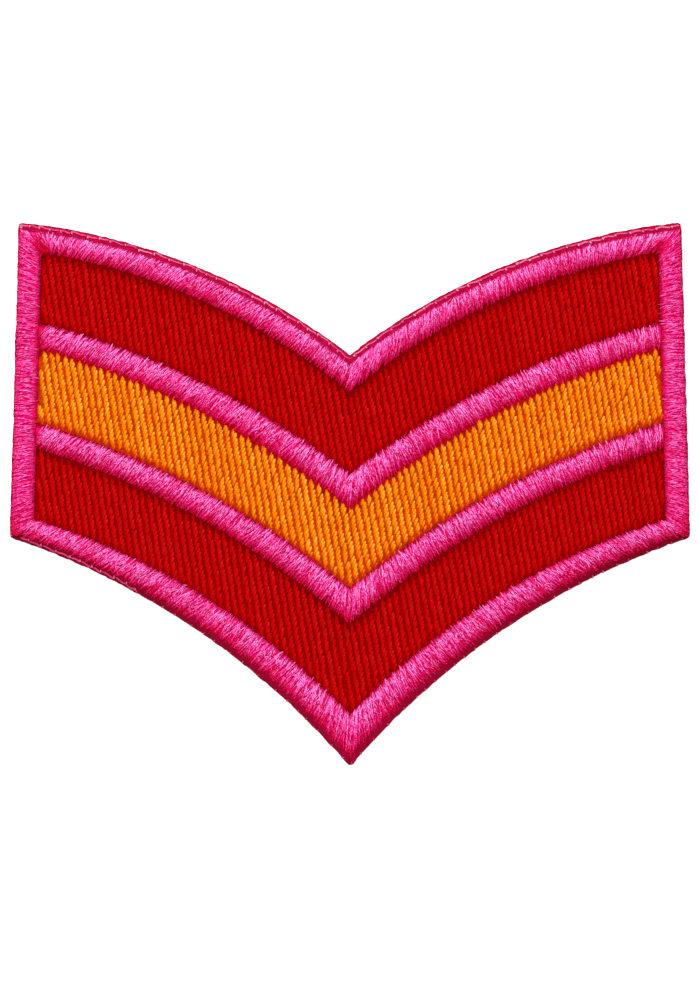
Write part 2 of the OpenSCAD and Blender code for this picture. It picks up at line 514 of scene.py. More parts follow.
def lay_column(store, rng, x_axis, lean, high, low, kind):
    """One slanting column of stem stitch, from its foot up."""
    up = np.array([-math.sin(lean), math.cos(lean)])
    right = np.array([math.cos(lean), math.sin(lean)])
    foot = np.array([x_axis - math.tan(lean) * low, low])
    length = (high - low) / math.cos(lean)
    column_tint = rng.uniform()
    swing = kind["swing"] * rng.uniform(0.93, 1.05)

    def stitch(begin, end, left_side, right_side, thick):
        """One stitch, between two distances up the column and two places across it."""
        far = begin + (end - begin) * STITCH_SHARE
        side = left_side + (right_side - left_side) * STITCH_SHARE
        side = side * (TOP_WIDTH + (1 - TOP_WIDTH) * np.clip((length - far) / TOP_TAPER, 0, 1))
        plan = foot + far[:, None] * up + side[:, None] * right
        rise = np.clip((length - far) / kind["rise"], 0, 1)
        settled = np.clip(far / FOOT_LENGTH, 0, 1)
        z = CROWN_HEIGHT - STITCH_DROP - TOP_DROP * (1 - rise) ** 2 - FOOT_DROP * (1 - settled) ** 2
        tint = 0.5 + COLUMN_VARIETY * (column_tint - 0.5) + STITCH_VARIETY * (rng.uniform() - 0.5)
        # Painted highlight brightens each stitch towards its tip; painted shade darkens the column at its
        # foot
        tint = tint + kind["tip_highlight"] * (STITCH_SHARE - 0.5) - kind["foot"] * (1 - settled) ** 1.5
        # Painted shadow of the satin above darkens the column where it begins
        tint = tint - kind["top_shadow"] * (1 - rise)
        path = np.column_stack([plan, CLOTH_THICKNESS + z])
        radius = thick * STITCH_BODY * (0.8 + 0.2 * settled)
        store.lay(path, radius, np.clip(tint, -0.3, 1), rng.uniform(0, 50), HEAVY_RING)

    phase, bend = rng.uniform(0, 6.3), rng.uniform(2.0, 4.5)
    begin = -rng.uniform(0.0, kind["step"])
    while begin < length - SHORTEST_STITCH:
        whole = kind["length"] * rng.uniform(0.85, 1.18)
        end = min(begin + whole, length - 0.1 * rng.uniform())
        slip = rng.normal(0, 0.025) + 0.05 * math.sin(2 * math.pi * begin / bend + phase)
        reach = swing * (2 * (end - begin) / whole - 1)
        thick = kind["radius"] * rng.uniform(0.88, 1.1) * min(1, 0.3 + 0.6 * (length - begin) / whole)
        stitch(begin, end, slip - swing, slip + reach, thick)
        begin += kind["step"] * rng.uniform(0.86, 1.14)
    # Fine points part at the top of the column
    for place in POINT_PLACES:
        tip = length + rng.uniform(-0.1, 0.36)
        side = swing * place + rng.normal(0, 0.03)
        stitch(tip - POINT_LENGTH, tip, side - 0.12, side + 0.1, POINT_RADIUS * rng.uniform(0.8, 1.15))


def fill_field(name, top_edge, bottom_edge, kind, seed):
    """All the columns of one field, on their bed."""
    rng = np.random.default_rng(seed)
    top, bottom = edge_arc(top_edge, -kind["clear"]), edge_arc(bottom_edge, 0.0)
    store = ThreadStore()
    x_axis = FIRST_COLUMN
    while x_axis < LAST_COLUMN:
        lean = math.radians(np.interp(x_axis, *COLUMN_LEAN_AT) + rng.normal(0, 0.12))
        ends = column_ends(x_axis, math.tan(lean), top, bottom)
        if ends:
            lay_column(store, rng, x_axis, lean, ends[0] + rng.normal(0, 0.13), ends[1], kind)
        x_axis += np.interp(x_axis, *COLUMN_PITCH_AT)
    lower = edge_row(bottom_edge, 0.05, BORDER_INSET)
    upper = edge_row(top_edge, -0.03, BORDER_INSET)
    bed = bar(lower, upper, BED_ACROSS, BED_SECTION, False)
    made = store.join(name, bed, np.tile(BED_SHADE, len(lower)))
    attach(made, "root")
    return made


def thread_material(name, steps, surface, under, shaded_under, contrast, twist, fibre_scale, relief):
    """Twisted embroidery thread: its colours from groove to crest, and those of what lies under it, plain
    and in painted shade.

    Contrast is how much of the colour comes from the fibres, from painted shade in the grooves between the
    plies, from the tint of each thread, and from the crown of its section, which paints highlight on the
    crest and shade on the flanks; twist is one turn in mm; fibre_scale is fibres along a mm and around the
    thread.
    """
    made, tree, shader = new_material(name)
    along, around, tint = (
        add_node(tree, "Attribute", attribute_name=mark).outputs["Fac"]
        for mark in ("along", "around", "tint")
    )
    turns = add_node(tree, "Math", {0: along, 1: 1 / twist, 2: around}, operation="MULTIPLY_ADD")
    angle = add_node(tree, "Math", {0: turns, 1: 4 * math.pi}, operation="MULTIPLY")
    ply = add_node(tree, "Math", {0: angle}, operation="SINE")
    # The tint is in the place too, strongly scaled, so that no two threads have the same fibres
    fibre_place = add_node(tree, "CombineXYZ", {"X": along, "Y": around, "Z": tint})
    scaled = add_node(tree, "VectorMath", {0: fibre_place, 1: (*fibre_scale, 61.0)}, operation="MULTIPLY")
    fibres = add_node(tree, "TexNoise", {"Vector": scaled, "Scale": 1.0, "Detail": 2.0})
    # The crown of the section: painted highlight on the crest, painted shade on the flanks
    from_back = add_node(tree, "Math", {0: around, 1: 0.25}, operation="ADD")
    crown_light = add_node(tree, "Math", {0: from_back, 1: 0.5}, operation="PINGPONG")
    # Where the colour lies between groove and crest, with painted shade in the ply grooves and on the flanks
    # and painted highlight on the crown
    level = 0.5
    middles = ((fibres, 0.5), (ply, 0.0), (tint, 0.5), (crown_light, 0.45))
    for (value, middle), share in zip(middles, contrast):
        centred = add_node(tree, "Math", {0: value, 1: middle}, operation="SUBTRACT")
        level = add_node(tree, "Math", {0: centred, 1: share, 2: level}, operation="MULTIPLY_ADD")
    worked = colour_steps(tree, level, steps)
    # The tint is -1 on what lies under the threads, and down to -2 where that carries painted shade
    on_top = add_node(tree, "Math", {0: tint, 1: -0.5}, operation="GREATER_THAN")
    depth = add_node(tree, "Math", {0: -1.0, 1: tint}, operation="SUBTRACT", use_clamp=True)
    below = add_node(
        tree, "MixRGB", {"Fac": depth, "Color1": hex_colour(under), "Color2": hex_colour(shaded_under)}
    )
    place = add_node(tree, "TexCoord").outputs["Object"]
    fuzz = add_node(tree, "TexNoise", {"Vector": place, "Scale": 2600.0, "Detail": 3.0})
    patchy = add_node(tree, "Math", {0: fuzz, 1: 1.9, 2: 0.05}, operation="MULTIPLY_ADD")
    below = add_node(tree, "HueSaturation", {"Color": below, "Value": patchy})
    colour = add_node(tree, "MixRGB", {"Fac": on_top, "Color1": below, "Color2": worked})
    height = add_node(tree, "Math", {0: ply, 1: 0.5, 2: fibres}, operation="MULTIPLY_ADD")
    height = add_node(tree, "Math", {0: height, 1: fuzz}, operation="ADD")
    bump = add_node(tree, "Bump", {"Height": height, "Strength": relief, "Distance": 0.03 * MM})
    fill_sockets(tree, shader, {"Base Color": colour, "Normal": bump, **surface})
    return made


# Polyester embroidery thread, spun in two plies and dyed: soft lobes with a dull gloss that keeps the colour
# of the dye, so the red and the orange stay deep. The pale top steps are painted highlights on the tips and
# crowns of the lobes. Fibres are drawn at 0.1 mm to show.
red_spun_polyester = thread_material(
    "red_spun_polyester",
    [(0.0, "7C0000"), (0.25, "A60000"), (0.5, "B80002"), (0.8, "C81012"), (1.0, "DC4030")],
    {"Roughness": 0.5, "Specular IOR Level": 0.16, "Specular Tint": hex_colour("FF3030")},
    under="960000", shaded_under="6E0002", contrast=(1.3, 0.04, 0.5, 1.0), twist=0.9, fibre_scale=(3.0, 4.0),
    relief=0.8,
)
orange_spun_polyester = thread_material(
    "orange_spun_polyester",
    [(0.0, "CC2806"), (0.2, "E05C04"), (0.48, "EA7E04"), (0.7, "F29406"), (0.86, "FCAE28"), (1.0, "FFD86C")],
    {"Roughness": 0.48, "Specular IOR Level": 0.2, "Specular Tint": hex_colour("FF9020")},
    under="BE3400", shaded_under="980002", contrast=(1.6, 0.06, 0.75, 0.9), twist=0.9, fibre_scale=(4.5, 5.0),
    relief=0.8,
)

upper_field = fill_field(
    "upper_field_red_columns", "border_top_inner", "upper_divider_top", RED_STITCH, 21
)
middle_field = fill_field(
    "middle_field_orange_columns", "upper_divider_bottom", "lower_divider_top", ORANGE_STITCH, 22
)
lower_field = fill_field(
    "lower_field_red_columns", "lower_divider_bottom", "border_bottom_inner", RED_STITCH, 23
)
for piece, node, slot, thread in (
    (upper_field, "upper_field", "red_thread", red_spun_polyester),
    (middle_field, "middle_field", "orange_thread", orange_spun_polyester),
    (lower_field, "lower_field", "red_thread", red_spun_polyester),
):
    piece.data.materials.append(thread)
    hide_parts(node)

# Dividers
# Two raised ribs of pink satin stitch that part the stripes: close threads laid over a padding, from edge
# to edge of the rib. Short strays ride up over them and cross them, and the upper edge is ragged, with
# single threads that end in points on the field above.

SATIN_HEIGHT = 1.2
SATIN_PITCH = 0.27
SATIN_RADIUS = 0.135
STRAY_RADIUS = 0.092
STRAYS_PER_MM2 = 4.1
FRINGE_PER_MM = 4.6
# How much the directions of whole threads and of strays vary, in degrees, and the least length of each
THREAD_SPREAD = 7
STRAY_SPREAD = 17
SHORTEST_THREAD = 0.7
SHORTEST_STRAY = 0.25
# Length between the points of a whole thread, the places of a stray's points and its cross-section
THREAD_STEP = 0.48
STRAY_SHARE = np.array([0.0, 0.3, 0.7, 1.0])
FINE_RING = np.radians([-30, 90, 210])
# Over what length and how far the ends of a thread sink, and how steeply a foot falls past the edge
SETTLE_LENGTH = 0.4
END_DROP = 0.1
EDGE_FALL = 1.2
# Share of the strays that lie deep in shade, and of the pale ones that lie loose on top of the rest
DARK_SHARE = 0.25
LOOSE_SHARE = 0.05
# The middle of the tints, the stretch over which painted shade fades out from a thread's foot, and the
# painted-shade tint of its tip
MEAN_TINT = 0.4
FOOT_SHADE_LENGTH = 1.6
FOOT_SHADE_POWER = 2.6
TIP_SHADE_TINT = 0.02
# Height of the rib at its lower and upper edges, as shares of its height, and the padding under it
LOW_EDGE_LEVEL = 0.26
HIGH_EDGE_LEVEL = 0.5
PAD_HEIGHT = 0.94
PAD_ACROSS = np.append(np.insert(np.linspace(0, 1, 11), 0, 0), 1)
RUN_STEPS = 3000
CUT_MARGIN = 0.2


def dome(share, start=LOW_EDGE_LEVEL, end=HIGH_EDGE_LEVEL):
    """Height of the satin over its width: 1 at the crest, and lower where each edge turns down."""
    share = np.clip(share, 0, 1)
    return start + (end - start) * share + (1 - 0.5 * (start + end)) * np.sin(math.pi * share) ** 0.9


PAD_SECTION = PAD_HEIGHT * dome(PAD_ACROSS)
PAD_SECTION[[0, -1]] = 0.0
# Along its upper edge the padding takes the painted shade colour
PAD_SHADE = np.clip((PAD_ACROSS - 0.8) / 0.1, 0, 1)


def on_cloth(x, y):
    """Whether a point lies on the cloth, clear of its cut edge."""
    over_foot = above_edge(edge_arc("outline_bottom"), x, y) > CUT_MARGIN
    under_top = above_edge(edge_arc("outline_top"), x, y) < -CUT_MARGIN
    return over_foot & under_top & (np.abs(x) < half_width(y, CUT_MARGIN))


def reach_inside(middle, heading, inside):
    """How far a line runs from each middle point along its heading before it leaves a shape."""
    far = np.arange(0.0, 8.0, 0.02)
    x = middle[:, :1] + heading[:, :1] * far
    y = middle[:, 1:] + heading[:, 1:] * far
    left = ~inside(x, y)
    left[:, -1] = True
    return far[left.argmax(axis=1)]


def aim(rng, middle, degrees, spread, satin):
    """Headings of threads, how far each stays on the rib ahead and behind, and on the cloth behind."""
    angle = np.radians(degrees + rng.normal(0, spread, len(middle)))
    heading = np.stack([np.cos(angle), np.sin(angle)], axis=1)
    ahead = reach_inside(middle, heading, satin["inside"])
    behind = reach_inside(middle, -heading, satin["inside"])
    return heading, ahead, behind, reach_inside(middle, -heading, on_cloth)


def wave(rng, far, shortest, longest):
    """A slow wave along a thread, with a random length and start."""
    return np.sin(2 * math.pi * far / rng.uniform(shortest, longest) + rng.uniform(0, 6.3))


def toned(tint, satin):
    """A random tint, brought nearer the mean and made paler as this satin is."""
    return MEAN_TINT + satin["shift"] + satin["tone"] * (tint - MEAN_TINT)


def shaded_foot_lit_head(tint, from_foot, share, satin):
    """A tint with painted shade near the thread's foot and painted highlight towards its head."""
    foot_shade_factor = 1 - satin["foot_shade"] * np.clip(1 - from_foot / FOOT_SHADE_LENGTH, 0, 1) ** FOOT_SHADE_POWER
    return tint * foot_shade_factor + satin["head_highlight"] * (share - 0.5)


def shaded_at_tip(tint, to_tip, satin):
    """A tint with painted shade at the tip of the thread's head."""
    return tint + (TIP_SHADE_TINT - tint) * np.clip(1 - to_tip / satin["tip"], 0, 1)


def lay_threads(store, rng, middle, degrees, satin):
    """Whole satin threads, edge to edge, through the given middle points."""
    heading, ahead, behind, limit = aim(rng, middle, degrees, THREAD_SPREAD, satin)
    for i in range(len(middle)):
        poke = rng.uniform() < satin["poking"]
        end = ahead[i] + (rng.uniform(0.02, 0.3) if poke else rng.uniform(*satin["heads"]))
        start = max(-behind[i] + rng.uniform(*satin["feet"]), -limit[i])
        if end - start < SHORTEST_THREAD:
            continue
        share = np.linspace(0, 1, max(7, round((end - start) / THREAD_STEP)))
        far = start + (end - start) * (share - 0.06 * np.sin(2 * math.pi * share))
        sway = 0.05 * rng.normal() * wave(rng, far, 2, 4)
        lift = 0.03 * rng.normal() + 0.04 * wave(rng, far, 1.6, 3)
        x = middle[i, 0] + heading[i, 0] * far - heading[i, 1] * sway
        y = middle[i, 1] + heading[i, 1] * far + heading[i, 0] * sway
        settle = np.clip(np.minimum(far - start, end - far) / SETTLE_LENGTH, 0, 1)
        beyond = np.clip(-behind[i] - far, 0, None)
        z = satin["crest"](x, y) - SATIN_RADIUS + lift * settle
        z = z - END_DROP * (1 - settle) ** 2 - EDGE_FALL * beyond
        z = np.where(far < 0, np.maximum(z, satin["foot_rest"] - satin["foot_fall"] * beyond), z)
        if poke:
            z = np.where(far > 0, np.maximum(z, satin["head_rest"] + 0.06 * (share - 1)), z)
        taper = (0.25 + 0.75 * np.clip((end - far) / 0.5, 0, 1) ** 0.7) * (0.85 + 0.15 * settle)
        radius = SATIN_RADIUS * rng.uniform(0.85, 1.1) * taper
        # Painted shade at the foot and the tip, painted highlight towards the head
        tint = shaded_foot_lit_head(toned(rng.uniform(0.15, 0.62), satin), far - start, share, satin)
        if not poke:
            tint = shaded_at_tip(tint, end - far, satin)
        tint = np.clip(tint - satin["shade"](x, y), 0, 1)
        store.lay(np.column_stack([x, y, CLOTH_THICKNESS + z]), radius, tint, rng.uniform(0, 50))


def lay_strays(store, rng, middle, place, degrees, satin):
    """Short stretches of thread that ride up over their neighbours, each at its place across the run."""
    heading, ahead, behind, limit = aim(rng, middle, degrees, STRAY_SPREAD, satin)
    hump = np.sin(math.pi * STRAY_SHARE)
    for i in range(len(middle)):
        half = 0.5 * rng.uniform(0.5, 1.2)
        far = place[i] * (ahead[i] + behind[i]) - behind[i] + half * (2 * STRAY_SHARE - 1)
        lowest = max(-behind[i] + rng.uniform(*satin["feet"]), -limit[i])
        far = np.clip(far, lowest, ahead[i] + rng.uniform(*satin["heads"]))
        if far[-1] - far[0] < SHORTEST_STRAY:
            continue
        far = far[0] + (far[-1] - far[0]) * STRAY_SHARE
        x = middle[i, 0] + heading[i, 0] * far
        y = middle[i, 1] + heading[i, 1] * far
        from_foot = far + behind[i]
        settle = np.clip(from_foot / SETTLE_LENGTH, 0, 1)
        beyond = np.clip(-from_foot, 0, None)
        z = np.maximum(satin["crest"](x, y), satin["head_rest"] * (far > ahead[i] - 0.3))
        z = z - END_DROP * (1 - settle) ** 2
        z = z + 0.13 * hump - 0.15 + 0.02 * rng.normal() - EDGE_FALL * beyond
        z = np.maximum(z, satin["foot_rest"] - satin["foot_fall"] * beyond)
        # Dark strays are painted shade, and the pale ones painted highlights
        dark = rng.uniform() < DARK_SHARE or abs(place[i] - 0.5) > 0.42
        tint = toned(rng.uniform(0.06, 0.28) if dark else rng.uniform(0.45, 1.0), satin)
        if dark or rng.uniform() > LOOSE_SHARE:
            # Painted shade at the foot and the tip, painted highlight towards the head
            tint = shaded_foot_lit_head(tint, from_foot, from_foot / (ahead[i] + behind[i]), satin)
            tint = shaded_at_tip(tint, ahead[i] + 0.1 - far, satin)
        tint = np.clip(tint - satin["shade"](x, y), 0, 1.1)
        path = np.column_stack([x, y, CLOTH_THICKNESS + z])
        store.lay(path, STRAY_RADIUS * (0.3 + 0.7 * hump), tint, rng.uniform(0, 50), FINE_RING)


def middle_run(one, one_inset, other, other_inset, steps):
    """Middle line between two edges, from its left end to its right one, and the right end."""
    end = 0.5 * (side_corner(one, one_inset) + side_corner(other, other_inset))
    x = np.linspace(-end[0], end[0], steps)
    return np.column_stack([x, 0.5 * (edge_height(one, x) + edge_height(other, x))]), end


def points_at(at, lengths, points):
    """Points at the given distances along a run of points of known lengths."""
    return np.column_stack([np.interp(at, lengths, points[:, k]) for k in (0, 1)])


def lay_satin(store, rng, run, satin, mirror=False):
    """Satin along a run: whole threads first, then the strays over them and a fringe at both edges."""
    lengths = run_lengths(run)
    whole = lengths[-1]

    def place_and_angle(at):
        middle = points_at(at, lengths, run)
        degrees = np.interp(middle[:, satin["axis"]], *satin["angle_at"])
        return middle, 180 - degrees if mirror else degrees

    even = np.arange(0.1, whole - 0.05, SATIN_PITCH)
    middle, degrees = place_and_angle(even + rng.normal(0, SATIN_PITCH * 0.16, len(even)))
    lay_threads(store, rng, middle, degrees, satin)
    count, fringe = round(whole * satin["width"] * STRAYS_PER_MM2), round(whole * FRINGE_PER_MM)
    place = np.concatenate([
        rng.uniform(0.0, 1.0, count), rng.uniform(-0.04, 0.06, fringe), rng.uniform(0.94, 1.04, fringe // 2)
    ])
    middle, degrees = place_and_angle(rng.uniform(0.1, whole - 0.1, len(place)))
    lay_strays(store, rng, middle, place, degrees, satin)


def even_shade(x, y):
    """No place along a divider gets painted shade."""
    return np.zeros_like(x)


# How satin is laid: its width, the axis that its angles go by and the angles in degrees along it, where feet
# and heads end against the edges of the rib, the share of heads that poke out, what feet and heads rest on
# and how that falls away under a foot. And its colour: how much painted shade deepens the foot, how much
# painted highlight brightens it from foot to head, the length of the painted shade at the tip, the contrast
# between threads, how much paler all are, and where painted shade deepens them.
DIVIDER_SATIN = {
    "width": 4.1, "axis": 0,
    "angle_at": (
        [-42, -30, -8, -2.5, 0, 2.5, 8, 20, 28, 34, 42],
        [48, 46, 43, 60, 78, 100, 118, 124, 118, 106, 92],
    ),
    "feet": (-0.48, -0.36), "heads": (0.04, 0.36), "poking": 0.1, "foot_rest": 0.22, "foot_fall": 0.2,
    "head_rest": 0.66, "foot_shade": 1.0, "head_highlight": 0.62, "tip": 0.68, "tone": 0.9, "shift": 0.085,
    "shade": even_shade,
}


def divider(name, top_edge, bottom_edge, seed):
    """One satin rib between two edges, butted against the border at both ends."""
    top, bottom = edge_arc(top_edge), edge_arc(bottom_edge)

    def inside(x, y):
        within = (above_edge(top, x, y) < 0) & (above_edge(bottom, x, y) > 0)
        return within & (np.abs(x) < half_width(y, FIELD_INSET))

    def crest(x, y):
        under, over = above_edge(bottom, x, y), -above_edge(top, x, y)
        return SATIN_HEIGHT * dome(under / (under + over))

    run = middle_run(top, FIELD_INSET, bottom, FIELD_INSET, 2 * RUN_STEPS)[0]
    store = ThreadStore()
    satin = {**DIVIDER_SATIN, "inside": inside, "crest": crest}
    lay_satin(store, np.random.default_rng(seed), run, satin)
    lower, upper = edge_row(bottom_edge, 0.03, BORDER_INSET), edge_row(top_edge, -0.08, BORDER_INSET)
    padding = bar(lower, upper, PAD_ACROSS, PAD_SECTION, False)
    made = store.join(name, padding, np.tile(PAD_SHADE, len(lower)))
    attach(made, "root")
    return made


# Viscose embroidery thread, two plies with a bright lustre that is painted: pale lilac highlights on the
# side that faces the light and painted shade of deep magenta between threads. The plies turn every 1.3 mm,
# which breaks each painted highlight up.
pink_viscose_thread = thread_material(
    "pink_viscose_thread",
    [
        (0.0, "C80428"), (0.1, "D80846"), (0.22, "E60E68"), (0.36, "F02892"), (0.54, "FA52B2"),
        (0.78, "FF8EE2"), (1.0, "FFB4FA"),
    ],
    {
        "Roughness": 0.38, "Specular IOR Level": 0.01, "Specular Tint": hex_colour("FFA0F0"),
        "Sheen Weight": 0.1, "Sheen Roughness": 0.4, "Sheen Tint": hex_colour("FF3C9A"),
    },
    under="E40A5C", shaded_under="B80030", contrast=(1.6, 0.12, 0.95, 1.6), twist=1.3, fibre_scale=(1.25, 2.0),
    relief=0.45,
)
upper_divider = divider("upper_divider_satin", "upper_divider_top", "upper_divider_bottom", 31)
lower_divider = divider("lower_divider_satin", "lower_divider_top", "lower_divider_bottom", 32)
for piece, node in ((upper_divider, "upper_divider"), (lower_divider, "lower_divider")):
    piece.data.materials.append(pink_viscose_thread)
    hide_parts(node)

# Outer border
# The same pink satin stitch as one closed ring just inside the cut edge, laid last over the ends of the
# fields. Its threads fan out round the four side corners from the corner of the ring's inner edge, and lie
# lower in the valley at each upper corner, with painted shade there and at the outer tip of each lower one.

RIM_TOP = 0.9
border_low_out, border_low_in = edge_arc("outline_bottom", RIM_BOTTOM), edge_arc("border_bottom_inner")
border_top_out, border_top_in = edge_arc("outline_top", -RIM_TOP), edge_arc("border_top_inner")
top_inner_corner = side_corner(border_top_in, BORDER_INSET)
# The outer line comes out by this much at the lower corners, over this length
CORNER_DIP = 0.5
CORNER_DIP_LENGTH = 2.2
# Which way the valleys run from the inner upper corners, and how deep they are
VALLEY_WAY = (0.57, 0.82)
VALLEY_DEPTH = 0.55


def border_outer_gap(x, y):
    """How far a point lies inside the outer line of the border, which comes out at both lower corners."""
    side = half_width(y, RIM_SIDE) - np.abs(x)
    low = above_edge(border_low_out, x, y) + CORNER_DIP * np.exp(-(side / CORNER_DIP_LENGTH) ** 2)
    return np.minimum(np.minimum(low, -above_edge(border_top_out, x, y)), side)


def border_inner_gap(x, y):
    """How far a point lies outside the inner line of the border."""
    side = np.abs(x) - half_width(y, BORDER_INSET)
    return np.maximum(np.maximum(-above_edge(border_low_in, x, y), above_edge(border_top_in, x, y)), side)


def in_border(x, y):
    """Whether a point lies between the border's two lines."""
    return (border_outer_gap(x, y) > 0) & (border_inner_gap(x, y) > 0)


def corner_valley(x, y, across, reach):
    """1 at the upper inner corners, falling over a width and over a reach towards the outer ones."""
    out, up = np.abs(x) - top_inner_corner[0], y - top_inner_corner[1]
    beside, along = VALLEY_WAY[1] * out - VALLEY_WAY[0] * up, VALLEY_WAY[0] * out + VALLEY_WAY[1] * up
    return np.exp(-(beside / across) ** 2 - (np.maximum(along, 0) / reach) ** 2)


def corner_shade(x, y):
    """How much painted shade darkens the threads in the upper valleys and at the lower outer corners."""
    low = np.hypot(half_width(y) - np.abs(x), y - CORNER_HEIGHT - 0.6)
    return 0.6 * corner_valley(x, y, 0.75, 1.9) + 0.3 * np.exp(-(low / 2.4) ** 2)


def border_crest(x, y):
    """Height of the ring, with the small valley where the two runs meet at each upper inner corner."""
    outer, inner = np.maximum(border_outer_gap(x, y), 0), np.maximum(border_inner_gap(x, y), 0)
    share = outer / np.maximum(outer + inner, 1e-6)
    over, under = -above_edge(border_top_in, x, y), above_edge(border_low_in, x, y)
    lowness = np.clip(over / (over + under), 0, 1)
    inner_level = LOW_EDGE_LEVEL + (HIGH_EDGE_LEVEL - LOW_EDGE_LEVEL) * lowness
    level = dome(share, LOW_EDGE_LEVEL, inner_level)
    return SATIN_HEIGHT * level * (1 - VALLEY_DEPTH * corner_valley(x, y, 0.5, 1.6))


low_run, low_mitre = middle_run(border_low_out, RIM_SIDE, border_low_in, BORDER_INSET, RUN_STEPS)
top_run, top_mitre = middle_run(border_top_out, RIM_SIDE, border_top_in, BORDER_INSET, RUN_STEPS)
# The side runs go on a little past the lower mitre, to fill the corner
right_run = np.linspace(low_mitre + (0.3, -0.8), top_mitre, RUN_STEPS // 2)
left_run = right_run * (-1, 1)

BORDER_SATIN = {**DIVIDER_SATIN, "inside": in_border, "crest": border_crest, "shade": corner_shade}
FOOT_SATIN = {
    **BORDER_SATIN, "width": 4.4,
    "angle_at": (
        [-43.2, -40, -35, -24, -8, -2.5, 0, 2.5, 8, 16, 35, 40, 43.2],
        [32, 36, 37, 40, 49, 68, 84, 104, 122, 133, 137, 139, 144],
    ),
    "feet": (-0.5, 0.1), "heads": (-0.06, 0.36), "foot_rest": 0.02, "foot_fall": 0.36, "foot_shade": 0.62,
    "shift": 0.065,
}
TOP_SATIN = {
    **BORDER_SATIN, "width": 4.2,
    "angle_at": (
        [-43, -41.2, -39.8, -37.8, -36, -30, -8, -2.5, 0, 2.5, 8, 16, 24, 30, 34, 38, 41.5, 43],
        [135, 118, 92, 72, 54, 43, 43, 54, 66, 74, 84, 98, 106, 94, 80, 64, 52, 45],
    ),
    "heads": (-0.22, 0.03), "poking": 0.04, "head_rest": 0.06, "foot_shade": 0.75, "tip": 0.3, "shift": 0.06,
}
SIDE_SATIN = {
    **BORDER_SATIN, "width": 3.0, "axis": 1,
    "angle_at": ([-6.5, -2, 5, 12, 22, 28, 31, 33.5], [144, 162, 174, 180, 182, 192, 205, 228]),
    "feet": (-0.03, 0.08), "heads": (-0.04, 0.16), "poking": 0.05, "foot_rest": 0.02, "foot_shade": 0.45,
    "head_highlight": -0.04, "tip": 0.75, "tone": 0.4, "shift": 0.055,
}
rng = np.random.default_rng(41)
store = ThreadStore()
lay_satin(store, rng, low_run, FOOT_SATIN)
lay_satin(store, rng, top_run, TOP_SATIN)
lay_satin(store, rng, right_run, SIDE_SATIN)
lay_satin(store, rng, left_run, SIDE_SATIN, mirror=True)


def ring_row(low_grow, top_grow, low_edge, top_edge, inset):
    """One line round the padding of the ring: along the foot, up the right, back along the top and down."""
    low, top = edge_row(low_edge, low_grow, inset), edge_row(top_edge, top_grow, inset)[::-1]
    right = np.linspace(low[-1], top[0], 80)[1:-1]
    return np.concatenate([low, right, top, right[::-1] * (-1, 1)])


pad_points, pad_faces = bar(
    ring_row(RIM_BOTTOM + 0.1, -RIM_TOP - 0.2, "outline_bottom", "outline_top", RIM_SIDE + 0.12),
    ring_row(-0.08, 0.03, "border_bottom_inner", "border_top_inner", BORDER_INSET - 0.03),
    PAD_ACROSS, PAD_SECTION, True,
)
# The padding stays under the threads in the valleys too
under_threads = np.maximum(border_crest(pad_points[:, 0], pad_points[:, 1]) - 0.14, 0)
pad_points[:, 2] = CLOTH_THICKNESS + np.minimum(pad_points[:, 2] - CLOTH_THICKNESS, under_threads)
outer_border = store.join("outer_border_satin", (pad_points, pad_faces))
outer_border.data.materials.append(pink_viscose_thread)
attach(outer_border, "root")
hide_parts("outer_border")

# Rim stitching
# A fine running stitch in pale pink thread that holds the cloth to its backing, just inside the cut edge,
# with a small knot where each stitch ends. It shows along the top and at the left end of the foot; along
# the sides and the rest of the foot only small ticks show, where the thread wraps over the edge. Along the
# foot both are darker, which is painted shade.

RIM_THREAD_RADIUS = 0.13
TICK_RADIUS = 0.085
KNOT_LENGTH = 0.16
# How far in from the cut the stitching runs, how much lower along the foot, and where it ends there
RIM_LINE = 0.38
FOOT_SINK = 0.04
STITCHED_LEFT_OF = -29.0
rng = np.random.default_rng(51)
store = ThreadStore()
cut_line = cut_outline(0.0)
inward = -outward_of(cut_line)
cut_line = np.concatenate([cut_line, cut_line[:1]])
inward = np.concatenate([inward, inward[:1]])
cut_length = run_lengths(cut_line)


def on_rim(at, inset):
    """Points at distances round the patch and insets from its cut edge."""
    at, inset = np.broadcast_arrays(np.mod(at, cut_length[-1]), inset)
    return points_at(at, cut_length, cut_line) + points_at(at, cut_length, inward) * inset[:, None]


def lay_rim_thread(at, inset, high, radius, tint):
    """One thread on the face of the rim, at distances round the patch, insets and heights."""
    south = np.interp(np.mod(at, cut_length[-1]), cut_length, inward[:, 1])
    path = np.column_stack([on_rim(at, inset), CLOTH_THICKNESS * rim_level(south, inset) + high])
    store.lay(path, radius, tint, rng.uniform(0, 50), HEAVY_RING)


def lay_tick(at, on_side):
    """A tick over the cut edge. Returns the distance to the next one."""
    share = np.linspace(0, 1, 7)
    lean = rng.normal(0, 0.1)
    high = 0.05 - 0.5 * np.clip(share - 0.5, 0, 1) - 0.1 * (share < 0.1)
    # Along the foot the ticks are darker: painted shade
    tint = rng.uniform(0.3, 1.0) if on_side else rng.uniform(0.0, 0.45)
    lay_rim_thread(at + lean * share, 0.28 - 0.32 * share, high, TICK_RADIUS, tint)
    return rng.uniform(1.2, 2.2) if on_side else rng.uniform(1.4, 3.0)


